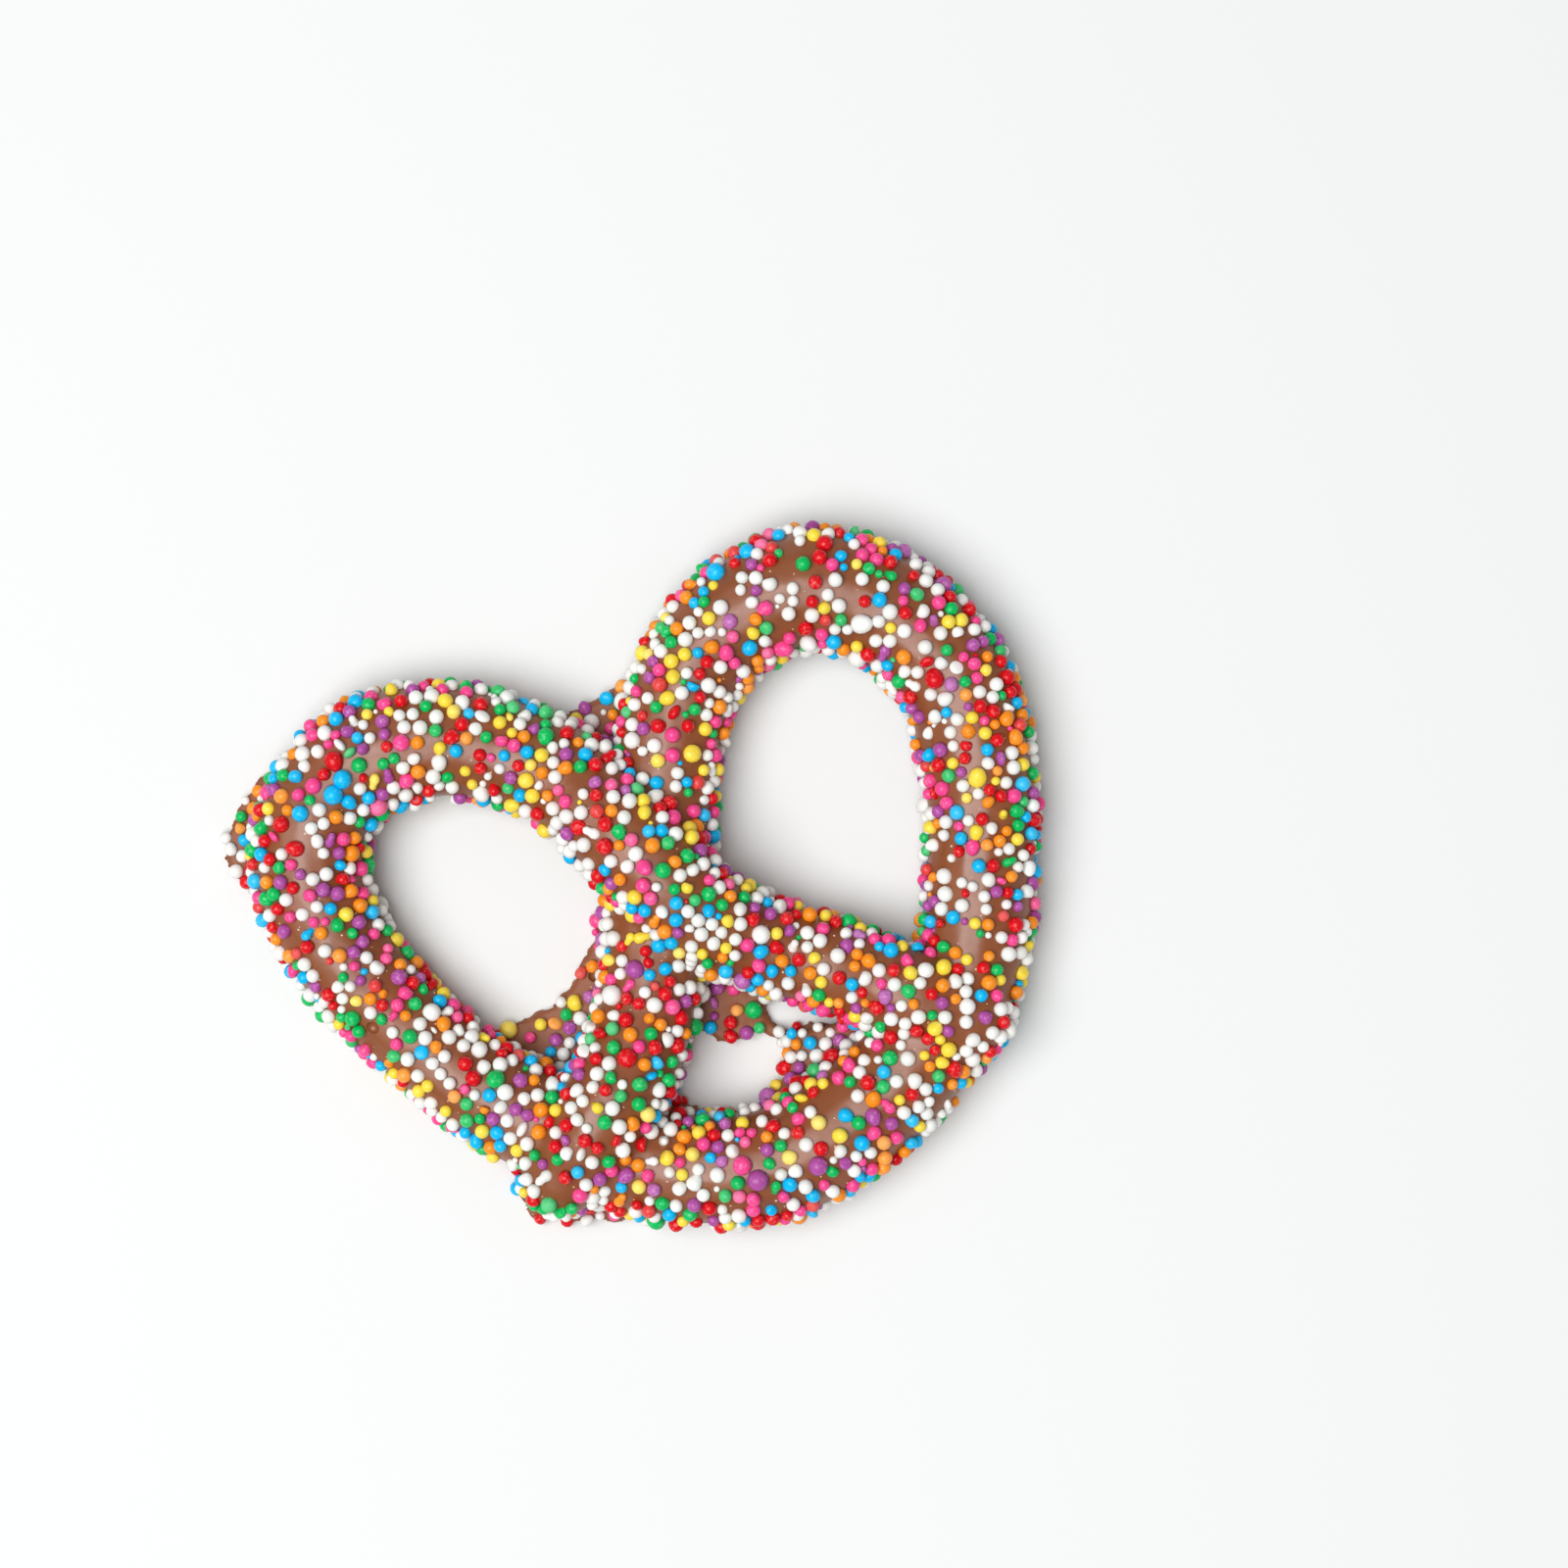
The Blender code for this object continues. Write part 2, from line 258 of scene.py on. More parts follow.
def break_edges(coat, rope):
    """Roughen the ledges' edges in plan, and mark what is ledge and what of it was broken."""
    ledges = []
    broken = []
    for vertex in coat.vertices:
        place = vertex.co / MM
        normal = vertex.normal
        clear = 0.0
        if place.z < LEDGE_TOP:
            near, _, _, _ = rope.find_nearest(place)
            clear = smoothstep(*CLEAR_OF_ROPE, (place - near).length)
        share = clear * smoothstep(*STEEP, 1.0 - abs(normal.z))
        if share > 0.0:
            flat = Vector((place.x, place.y, EDGE_LEAN * place.z))
            out = Vector((normal.x, normal.y, 0.0))
            vertex.co += out * (uneven(flat, BROKEN_EDGE) * share * MM)
        ledges.append(clear)
        broken.append(share)
    mark_points(coat, "ledge", ledges)
    mark_points(coat, "broken", broken)


def swell(coat):
    """Raise and lower the coat's skin by its lumps."""
    normals = [vertex.normal.copy() for vertex in coat.vertices]
    ledges = coat.attributes["ledge"].data
    for vertex, normal, ledge_mark in zip(coat.vertices, normals, ledges):
        place = vertex.co / MM
        lump = uneven(place, LUMPS)
        if ledge_mark.value > 0.0:
            lump += uneven(place, LEDGE_LUMPS) * ledge_mark.value
        vertex.co += normal * (lump * MM)


def leave_pits(mesh, tree):
    """Press the ball of each lost pearl into the coat, on a finer mesh there."""
    shell = bmesh.new()
    shell.from_mesh(mesh)
    for x, y, radius, rise in PITS:
        place, normal = top_of(tree, x, y)
        centre = (place + normal * rise) * MM
        reach = PIT_REACH * radius * MM
        near = {
            edge
            for vertex in shell.verts
            if (vertex.co - centre).length < reach
            for edge in vertex.link_edges
        }
        edges = sorted(near, key=lambda edge: edge.index)
        bmesh.ops.subdivide_edges(shell, edges=edges, cuts=PIT_CUTS, use_grid_fill=True)
        shell.edges.index_update()
        for vertex in shell.verts:
            away = vertex.co - centre
            if away.length < radius * MM:
                vertex.co = centre + away.normalized() * (radius * MM)
    shell.to_mesh(mesh)
    shell.free()


def cut_flat(mesh):
    """Cut off what lies below the table and close the cut with a flat foot."""
    shell = bmesh.new()
    shell.from_mesh(mesh)
    bmesh.ops.bisect_plane(
        shell,
        geom=shell.verts[:] + shell.edges[:] + shell.faces[:],
        dist=WELD * MM,
        plane_co=(0.0, 0.0, 0.0),
        plane_no=(0.0, 0.0, 1.0),
        clear_inner=True,
    )
    rim = [edge for edge in shell.edges if edge.is_boundary]
    bmesh.ops.triangle_fill(shell, edges=rim, use_beauty=True)
    bmesh.ops.recalc_face_normals(shell, faces=shell.faces)
    shell.to_mesh(mesh)
    shell.free()


class Signal:
    """A number from a node's socket, so that shader maths reads as an expression."""

    def __init__(self, tree, socket):
        self.tree = tree
        self.socket = socket

    def maths(self, operation, first, second):
        node = self.tree.nodes.new("ShaderNodeMath")
        node.operation = operation
        for socket, value in zip(node.inputs, (first, second)):
            if isinstance(value, Signal):
                self.tree.links.new(value.socket, socket)
            else:
                socket.default_value = value
        return Signal(self.tree, node.outputs[0])

    def __add__(self, other):
        return self.maths("ADD", self, other)

    def __sub__(self, other):
        return self.maths("SUBTRACT", self, other)

    def __rsub__(self, other):
        return self.maths("SUBTRACT", other, self)

    def __mul__(self, other):
        return self.maths("MULTIPLY", self, other)

    __radd__ = __add__
    __rmul__ = __mul__


class Recipe:
    """A node tree that is written one node at a time."""

    def __init__(self, tree):
        self.tree = tree

    def node(self, kind, settings=None, inputs=None):
        """Add a node: its settings are set first, then its sockets get values or links."""
        node = self.tree.nodes.new(kind)
        for name, value in (settings or {}).items():
            setattr(node, name, value)
        for name, value in (inputs or {}).items():
            socket = node.inputs[name]
            if isinstance(value, Signal):
                self.tree.links.new(value.socket, socket)
            elif isinstance(value, bpy.types.NodeSocket):
                self.tree.links.new(value, socket)
            else:
                socket.default_value = value
        return node

    def number(self, kind, output, settings=None, inputs=None):
        """The number that a node gives."""
        return Signal(self.tree, self.node(kind, settings, inputs).outputs[output])

    def grain(self, place, size, detail=2.0):
        """Noise from 0 to 1, of a breadth in millimetres."""
        inputs = {"Vector": place, "Scale": 1.0 / (size * MM), "Detail": detail}
        return self.number("ShaderNodeTexNoise", "Fac", {}, inputs)

    def rise(self, value, low, high, interpolation="SMOOTHSTEP"):
        """0 where a value is below low, 1 where it is above high, and a rise between."""
        inputs = {"Value": value, "From Min": low, "From Max": high}
        return self.number(
            "ShaderNodeMapRange", "Result", {"interpolation_type": interpolation}, inputs
        )

    def relief(self, height, strength, depth):
        """The normal of a skin with this relief, whose depth is in millimetres."""
        inputs = {"Strength": strength, "Distance": depth * MM, "Height": height}
        return self.node("ShaderNodeBump", {}, inputs).outputs[0]

    def mark(self, name):
        """A number that the mesh keeps for its points."""
        return self.number("ShaderNodeAttribute", "Fac", {"attribute_name": name})

    def blend(self, share, first, second):
        """The colour between two colours."""
        node = self.node(
            "ShaderNodeMix",
            {"data_type": "RGBA"},
            {0: share, 6: as_colour(first), 7: as_colour(second)},
        )
        return node.outputs[2]


def as_colour(value):
    """A colour socket's value from three numbers; a link stays as it is."""
    return (*value, 1.0) if isinstance(value, tuple) else value


def finish(name, **constants):
    """A material with these constants on its shader, its recipe and the shader."""
    material = bpy.data.materials.new(name)
    material.use_nodes = True
    shader = material.node_tree.nodes["Principled BSDF"]
    for socket, value in constants.items():
        shader.inputs[socket.replace("_", " ")].default_value = value
    return material, Recipe(material.node_tree), shader


def paint(recipe, shader, coloured, rough, skin):
    """Give a shader its colour, roughness and normal, which vary over the surface."""
    links = recipe.tree.links
    links.new(coloured, shader.inputs["Base Color"])
    links.new(rough.socket, shader.inputs["Roughness"])
    links.new(skin, shader.inputs["Normal"])


def milk_chocolate():
    """Satin milk chocolate: faintly mottled, with a lighter, rough grain where an edge broke. Its
    foot is as smooth as the sheet it set on."""
    material, recipe, shader = finish("milk_chocolate", IOR=1.61)
    place = recipe.node("ShaderNodeTexCoord").outputs["Object"]
    height = recipe.number("ShaderNodeSeparateXYZ", "Z", {}, {"Vector": place})
    above = recipe.rise(height, 0.0, FOOT_RIM * MM, "LINEAR")
    broken = above * recipe.mark("broken")
    ledge_part = above * recipe.mark("ledge")
    cloudy = recipe.grain(place, CLOUDS)
    fine = recipe.grain(place, FINE_GRAIN, 4.0)
    mottled = recipe.blend(0.6 * cloudy + 0.25 * fine, CHOCOLATE_DARK, CHOCOLATE)
    coloured = recipe.blend(broken * (0.4 + 0.6 * fine), mottled, CHOCOLATE_BROKEN)
    rough = SATIN + 0.14 * cloudy + 0.08 * fine + 0.22 * ledge_part + 0.15 * broken
    skin = 0.5 * recipe.grain(place, SKIN_WAVES) + 0.25 * fine
    torn = (0.6 * ledge_part + 0.8 * broken) * recipe.grain(place, BROKEN_GRAIN)
    paint(recipe, shader, coloured, rough, recipe.relief(skin + torn, 0.35, COAT_RELIEF))
    return material


knots = [(x, y, lift + radius * FOOT_SHARE, radius) for x, y, lift, radius in ROPE]
rope_pieces = strand("rope", knots)
rope_surface = surface_of(rope_pieces[0].data)
coat_pieces = rope_pieces + strand("thread", THREAD)
for side, (height, outline) in LEDGES.items():
    coat_pieces.append(ledge(f"ledge_{side}", height, outline))
coat = joined("coat", coat_pieces)
merge = coat.modifiers.new("merge", "REMESH")
merge.mode = "VOXEL"
merge.voxel_size = COAT_VOXEL * MM
fillet = coat.modifiers.new("fillet", "SMOOTH")
fillet.iterations = FILLET_PASSES
coat = baked(coat)
coat_surface = surface_of(coat.data)
coat_corners = np.array([vertex.co for vertex in coat.data.vertices]) / MM

break_edges(coat.data, rope_surface)
swell(coat.data)
leave_pits(coat.data, coat_surface)
cut_flat(coat.data)
coat.data.shade_smooth()
coat.data.set_sharp_from_angle(angle=CREASE)
coat.data.materials.append(milk_chocolate())
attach(coat, "root")
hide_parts("pretzel")

# --------------------------------------------------------------------------- the sugar pearls
# Nonpareils: tiny balls of pan-coated sugar in eight colours, rolled on while the chocolate was
# soft, so each is sunk in it by about a third. Most are round, some are egg-shaped, dented, drawn
# to a tail, grown together in pairs, broken in half, or pressed flat.

PEARL_SEED = 12
PEARLS_ON_COAT = 2100
PEARL_RADIUS = 0.71
PEARL_SPREAD = 0.08       # standard deviation of the radius
PEARL_GAP = 0.04          # least gap between two pearls
PEARL_RISE = (0.15, 0.5)  # height of a pearl's middle above the coat, as a share of its radius
STANDING_CLEAR = 0.6      # a middle this far above the coat, as a share, is where an edge broke off
PEARL_ROLLS = 4           # times a pearl that lands on another rolls off it before it is lost
CATCH = 0.8               # a pearl that falls this near to the coat is caught by it
# Patches hold more or fewer pearls: the share that a middling one keeps, how far it swings, and
# the patches' breadth. The largest pearls lie evenly, and the rest gather.
EVEN_PEARLS = 195
EVEN_PATCHES = (0.7, 0.6, 4.5)
GATHERED_PATCHES = (0.55, 1.1, 3.0)
BARE_LEDGE = 1.6          # ledges lower than this set before they could catch many pearls
LEDGE_SHARE = 0.35        # share of the pearls that gather elsewhere which they caught
CLUMPED = 0.4             # share of the late pearls that land beside another
FALL_SHARE = 0.8          # share that a wall keeps of what the same patch would keep facing up
UNDERSIDE = -0.6          # no pearl where the coat's normal points down further than this

GIANTS = 30               # the first of the largest are double grains
GIANT_GROWTH = 1.13
LATE_PEARLS = 330         # pearls of all sizes that find room between those
LATE_RADIUS = (0.66, 0.13)
BITS = 130                # small pearls and bits among the whole ones
BIT_RADIUS = (0.22, 0.48)

# Pearls that caught on thin chocolate, x and y in millimetres: a run of white ones on the thread,
# and mixed ones on the ledges of the left lobe, below the thread, of the left end and left hole.
THREAD_PEARLS = ((2.8, -15.7), (4.7, -16.0), (3.2, -17.4), (4.8, -18.1), (6.6, -16.9), (8.1, -17.2))
LEDGE_PEARLS = (
    (-41.0, 26.6), (-42.2, 25.0), (-41.6, 23.6), (-40.6, 25.2), (-39.8, 26.9), (-38.8, 29.3),
    (-37.2, 29.9), (-40.3, 28.3), (5.7, -18.2), (7.4, -18.5), (9.1, -18.5), (10.9, -18.7),
    (6.4, -19.7), (8.2, -19.9), (-27.3, -21.2), (-27.1, -22.6), (-26.4, -23.9), (-11.2, -1.6),
    (-13.7, -4.5), (-15.6, -4.6), (-15.2, -6.1), (-16.9, -5.9), (-18.2, -6.4), (-16.1, -7.4),
    (-19.9, -6.0), (-18.2, -8.2), (-20.6, -7.3),
)

# How many of a hundred pearls have a colour, the colour, and the lighter sugar that shows
# through it as specks.
PEARL_COLOURS = {
    "white": (33, (0.85, 0.85, 0.815), (0.89, 0.89, 0.87)),
    "pink": (11, (0.92, 0.065, 0.28), (0.90, 0.26, 0.42)),
    "red": (13, (0.70, 0.003, 0.010), (0.78, 0.16, 0.14)),
    "orange": (9, (0.95, 0.285, 0.012), (0.90, 0.46, 0.16)),
    "yellow": (8, (0.94, 0.71, 0.055), (0.92, 0.76, 0.26)),
    "green": (10, (0.001, 0.495, 0.105), (0.16, 0.62, 0.28)),
    "blue": (9, (0.001, 0.485, 0.90), (0.10, 0.56, 0.86)),
    "purple": (7, (0.42, 0.078, 0.345), (0.62, 0.28, 0.58)),
}
# How many of a hundred pearls have each form.
FORM_SHARES = {"round": 64, "egg": 19, "dented": 6, "drop": 4, "half": 2, "pair": 3, "pressed": 2}
FORM_SCALE = 1.09     # so that a faceted pearl with uneven sides has its ball's breadth
WHOLE_FORMS = 3       # the first forms stay inside about 1.2 radii, and go where room is short
TIGHT_ROOM = 1.8      # a pearl whose middle is nearer to the table than this has such a form
LARGE = 0.86          # and so has a pearl of this radius or more
LEAST_ROUND = 0.92    # least side of a round pearl, as a share of its largest
SKIN_GRAIN = 0.07     # height of the unevenness of a pearl's skin, as a share of its radius
SKIN_BREADTH = 0.55   # and its breadth in millimetres
LEAST_HEIGHT = 1.15   # least height of a middle, as a share of its radius, for a round pearl
EGG_HEIGHT = 1.4      # and for any other, which may stand on its long end

# Sugar shells: the breadth of their patches and of a crushed one's grains, then where, from 0 to
# 1, a patch turns to a speck and a pearl's tone makes it paler or crushed.
SUGAR_PATCHES = 0.35
SUGAR_GRAINS = 0.2
SPECKS = (0.56, 0.76)
PALE_TONES = (0.8, 0.95)
CRUSHED_TONES = (0.965, 0.97)
DULL = 0.86           # what the dullest pearl has of its colour
SUGAR_SATIN = 0.2     # least roughness
SUGAR_RELIEF = 0.04   # height of the relief


def caught(tree, point, rng, patches, rope=None):
    """Whether the coat keeps a pearl that falls at this point, in millimetres. Where the rope is
    given, low ledges keep fewer."""
    place, normal, _, _ = tree.find_nearest(point, CATCH)
    if place is None or normal.z < UNDERSIDE:
        return False
    middling, swing, breadth = patches
    share = middling + swing * noise.noise(place / breadth)
    if rope and place.z < BARE_LEDGE:
        near, _, _, _ = rope.find_nearest(place)
        share *= 1.0 - (1.0 - LEDGE_SHARE) * smoothstep(*CLEAR_OF_ROPE, (place - near).length)
    return rng.random() < share * (FALL_SHARE + (1.0 - FALL_SHARE) * normal.z)


def settled(tree, point, radius, rise, centres, radii):
    """The middle of a pearl that rolls to rest from this point, or None where it finds no room."""
    for _ in range(PEARL_ROLLS):
        place, normal, _, _ = tree.find_nearest(point)
        centre = place + normal * (rise * radius)
        if centre.z < radius or normal.z < UNDERSIDE:
            return None
        gaps = np.linalg.norm(centres - np.array(centre), axis=1) - radii - radius
        if not len(gaps) or gaps.min() >= PEARL_GAP:
            return centre
        nearest = int(gaps.argmin())
        below = Vector(centres[nearest])
        reach = radii[nearest] + radius + 2.0 * PEARL_GAP
        point = below + (centre - below).normalized() * reach
    return None


def with_pits(tree, centres, radii):
    """The pearls so far and the balls of the lost ones, which no later pearl may touch."""
    for x, y, radius, rise in PITS:
        place, normal = top_of(tree, x, y)
        centres = np.vstack([centres, place + normal * rise])
        radii = np.append(radii, radius)
    return centres, radii


def pearl_places(tree, corners, rope):
    """Middles and radii of the pearls on the coat, largest first, then what falls between them."""
    low = corners.min(axis=0) - CATCH
    high = corners.max(axis=0) + CATCH
    rng = random.Random(PEARL_SEED)
    late = random.Random(PEARL_SEED)
    drawn = [rng.gauss(PEARL_RADIUS, PEARL_SPREAD) for _ in range(PEARLS_ON_COAT)]
    drawn.sort(reverse=True)
    drawn[EVEN_PEARLS:EVEN_PEARLS] = [radius for _, _, radius, _ in PITS]
    drawn += [late.gauss(*LATE_RADIUS) for _ in range(LATE_PEARLS)]
    drawn += [late.uniform(*BIT_RADIUS) for _ in range(BITS)]
    centres = np.empty((0, 3))
    radii = np.empty(0)
    while len(radii) < len(drawn):
        point = Vector([rng.uniform(a, b) for a, b in zip(low, high)])
        radius = drawn[len(radii)]
        if len(radii) > PEARLS_ON_COAT and late.random() < CLUMPED:
            neighbour = late.randrange(len(radii))
            aside = Vector([late.gauss(0.0, 1.0) for _ in range(3)]).normalized()
            reach = radii[neighbour] + radius + 2.0 * PEARL_GAP
            point = Vector(centres[neighbour]) + aside * reach
        if len(radii) < EVEN_PEARLS:
            kept = caught(tree, point, rng, EVEN_PATCHES)
        else:
            kept = caught(tree, point, rng, GATHERED_PATCHES, rope)
        if not kept:
            continue
        centre = settled(tree, point, radius, rng.uniform(*PEARL_RISE), centres, radii)
        if centre is not None:
            centres = np.vstack([centres, centre])
            radii = np.append(radii, radius)
            if len(radii) == EVEN_PEARLS:
                radii[:GIANTS] *= GIANT_GROWTH
                centres, radii = with_pits(tree, centres, radii)
    there = np.ones(len(radii), dtype=bool)
    there[EVEN_PEARLS : EVEN_PEARLS + len(PITS)] = False
    return centres[there], radii[there]


def dropped(tree, places, rng, centres, radii):
    """The pearls so far and those that drop on the coat at these places and find room."""
    for x, y in places:
        radius = rng.gauss(*LATE_RADIUS)
        place, _ = top_of(tree, x, y)
        centre = place and settled(tree, place, radius, rng.uniform(*PEARL_RISE), centres, radii)
        if centre:
            centres = np.vstack([centres, centre])
            radii = np.append(radii, radius)
    return centres, radii


def drawn_in(tree, centres, radii):
    """Middles of the pearls, with those that stand clear of the finished coat drawn back to it."""
    moved = []
    for centre, radius in zip(centres, radii):
        middle = Vector(centre)
        place, _, _, gap = tree.find_nearest(middle)
        if gap > STANDING_CLEAR * radius:
            middle = place + (middle - place) * (PEARL_RISE[1] * radius / gap)
        moved.append(middle)
    return np.array(moved)


def bell(value, middle, breadth):
    """1 at the middle, falling to nothing on both sides."""
    return math.exp(-(((value - middle) / breadth) ** 2))


def form_point(form, x, y, z):
    """Where a point of the unit ball goes in a pearl of this form, in shares of its radius."""
    if form == "egg":
        return x * (1.12 + 0.1 * x), y * (0.97 - 0.1 * x), z * (0.97 - 0.1 * x)
    if form == "dented":
        return x, y, z * (1.0 - 0.3 * bell(z, 1.0, 0.3))
    if form == "drop":
        return x + 0.5 * max(0.0, x - 0.35), y * (1.0 - 0.12 * x), z * (1.0 - 0.12 * x)
    if form == "half":
        return x - 0.75 * max(0.0, x - 0.2), y, z
    if form == "pair":
        waist = 0.84 + 0.14 * x - 0.3 * bell(x, -0.1, 0.25)
        return 1.3 * x, y * waist, z * waist
    if form == "pressed":
        return x * 1.08, y * 1.08, z * 0.62
    return x, y, z


def pearl_form(form):
    """A pearl of radius 1 with 54 faces: a divided cube, rounded and then given its form."""
    shell = bmesh.new()
    bmesh.ops.create_cube(shell, size=2.0)
    bmesh.ops.subdivide_edges(shell, edges=shell.edges[:], cuts=2, use_grid_fill=True)
    for vertex in shell.verts:
        even = Vector([math.tan(side * math.pi / 4.0) for side in vertex.co]).normalized()
        vertex.co = Vector(form_point(form, *even)) * FORM_SCALE
    bmesh.ops.recalc_face_normals(shell, faces=shell.faces)
    return mesh_of(shell, f"form_{form}")


def new_tree(name, kinds):
    """An empty Geometry Nodes tree with these named inputs: its recipe, what it is given, and the
    identifiers that set the inputs on a modifier."""
    tree = bpy.data.node_groups.new(name, "GeometryNodeTree")
    tree.is_modifier = True
    tree.interface.new_socket("Geometry", in_out="INPUT", socket_type="NodeSocketGeometry")
    identifiers = {
        label: tree.interface.new_socket(label, in_out="INPUT", socket_type=kind).identifier
        for label, kind in kinds.items()
    }
    tree.interface.new_socket("Geometry", in_out="OUTPUT", socket_type="NodeSocketGeometry")
    recipe = Recipe(tree)
    return recipe, recipe.node("NodeGroupInput").outputs, identifiers


def random_vector(recipe, low, high, seed):
    """A random vector for each point, whose sides lie between two vectors' or numbers'."""
    inputs = {0: low, 1: high, "Seed": seed}
    return recipe.node(
        "FunctionNodeRandomValue", {"data_type": "FLOAT_VECTOR"}, inputs
    ).outputs[0]


def random_turn(recipe, seed):
    """A random turn about all three axes for each point."""
    return random_vector(recipe, (0.0, 0.0, 0.0), (math.tau, math.tau, math.tau), seed)


def scaled(recipe, vector, factor):
    """A vector times a number."""
    inputs = {0: vector, "Scale": factor}
    return recipe.node("ShaderNodeVectorMath", {"operation": "SCALE"}, inputs).outputs[0]


def pearl_tree():
    """Geometry Nodes that set a pearl, turned at random, on each point of a mesh."""
    recipe, given, identifiers = new_tree(
        "set_pearls",
        {
            "Forms": "NodeSocketCollection",
            "Least round": "NodeSocketFloat",
            "Skin grain": "NodeSocketFloat",
            "Seed": "NodeSocketInt",
            "Finish": "NodeSocketMaterial",
        },
    )
    named = "GeometryNodeInputNamedAttribute"
    radius = recipe.node(named, {"data_type": "FLOAT"}, {"Name": "radius"}).outputs[0]
    form = recipe.node(named, {"data_type": "INT"}, {"Name": "form"}).outputs[0]
    roundness = random_vector(recipe, given["Least round"], (1.0, 1.0, 1.0), given["Seed"])
    forms = recipe.node(
        "GeometryNodeCollectionInfo",
        {},
        {"Collection": given["Forms"], "Separate Children": True, "Reset Children": True},
    ).outputs[0]
    set_down = recipe.node(
        "GeometryNodeInstanceOnPoints",
        {},
        {
            "Points": given["Geometry"],
            "Instance": forms,
            "Pick Instance": True,
            "Instance Index": form,
            "Rotation": random_turn(recipe, given["Seed"]),
            "Scale": scaled(recipe, roundness, radius),
        },
    ).outputs[0]
    whole = recipe.node("GeometryNodeRealizeInstances", {}, {"Geometry": set_down}).outputs[0]
    place = recipe.node("GeometryNodeInputPosition").outputs[0]
    normal = recipe.node("GeometryNodeInputNormal").outputs[0]
    ripple = recipe.grain(place, SKIN_BREADTH, 1.0) - 0.5
    offset = scaled(recipe, normal, ripple * Signal(recipe.tree, given["Skin grain"]))
    rippled = recipe.node(
        "GeometryNodeSetPosition", {}, {"Geometry": whole, "Offset": offset}
    ).outputs[0]
    smooth = recipe.node("GeometryNodeSetShadeSmooth", {}, {"Geometry": rippled}).outputs[0]
    coloured = recipe.node(
        "GeometryNodeSetMaterial", {}, {"Geometry": smooth, "Material": given["Finish"]}
    ).outputs[0]
    recipe.node("NodeGroupOutput", {}, {"Geometry": coloured})
    return recipe.tree, identifiers


def sugar(name, colour, speck):
    """Satin sugar shell. Its tone varies from pearl to pearl: some are paler, a few have a crushed,
    grainy shell, and paler sugar shows through all of them as specks."""
    material, recipe, shader = finish(name, IOR=1.34)
    place = recipe.node("ShaderNodeTexCoord").outputs["Object"]
    tone = recipe.mark("tone")
    patches = recipe.grain(place, SUGAR_PATCHES, 3.0)
    grains = recipe.grain(place, SUGAR_GRAINS)
    crushed = recipe.rise(tone, *CRUSHED_TONES)
    pale = recipe.rise(tone, *PALE_TONES)
    specks = recipe.rise(patches + 0.1 * tone + 0.3 * crushed * grains, *SPECKS)
    dull = tuple(DULL * part for part in colour)
    toned = recipe.blend(0.5 + 0.5 * tone, dull, colour)
    paler = recipe.blend(0.3 * pale, toned, speck)
    coloured = recipe.blend(0.55 * specks, paler, speck)
    rough = SUGAR_SATIN + 0.12 * patches + 0.3 * crushed
    skin = patches + 4.0 * (crushed * grains)
    paint(recipe, shader, coloured, rough, recipe.relief(skin, 0.3, SUGAR_RELIEF))
    return material


def set_with(tree, identifiers, name, points, values):
    """A piece made by a Geometry Nodes tree on these points, as a plain mesh."""
    piece = add_object(f"{name}_points", points)
    nodes = piece.modifiers.new("set", "NODES")
    nodes.node_group = tree
    for label, value in values.items():
        nodes[identifiers[label]] = value
    evaluated = piece.evaluated_get(bpy.context.evaluated_depsgraph_get())
    mesh = bpy.data.meshes.new_from_object(evaluated)
    bpy.data.objects.remove(piece)
    mesh.name = name
    return add_object(name, mesh)


def scattered_points(name, centres, radii, forms, tones):
    """A mesh of loose points that carry the radius, form and tone of what is set on them."""
    points = bpy.data.meshes.new(f"{name}_points")
    points.from_pydata([tuple(centre * MM) for centre in centres], [], [])
    points.attributes.new("form", "INT", "POINT").data.foreach_set("value", forms)
    mark_points(points, "radius", radii * MM)
    mark_points(points, "tone", tones)
    return points


centres, radii = pearl_places(coat_surface, coat_corners, rope_surface)
thin = random.Random(PEARL_SEED)
centres, radii = dropped(coat_surface, LEDGE_PEARLS, thin, centres, radii)
mixed = len(radii)
centres, radii = dropped(coat_surface, THREAD_PEARLS, thin, centres, radii)
centres = drawn_in(surface_of(coat.data), centres, radii)
centres[:, 2] = np.maximum(centres[:, 2], LEAST_HEIGHT * radii)

form_collection = bpy.data.collections.new("pearl_forms")
for index, form in enumerate(FORM_SHARES):
    form_collection.objects.link(bpy.data.objects.new(f"form_{index}_{form}", pearl_form(form)))

chance = random.Random(PEARL_SEED + 1)
count = len(radii)
form_of = np.array(chance.choices(range(len(FORM_SHARES)), FORM_SHARES.values(), k=count))
plain = (centres[:, 2] < TIGHT_ROOM * radii) | (radii > LARGE)
form_of[plain] %= WHOLE_FORMS
form_of[centres[:, 2] < EGG_HEIGHT * radii] = 0
colour_shares = [share for share, _, _ in PEARL_COLOURS.values()]
colour_of = np.array(chance.choices(list(PEARL_COLOURS), colour_shares, k=count))
colour_of[mixed:] = "white"
tone_of = np.array([chance.random() for _ in range(count)])

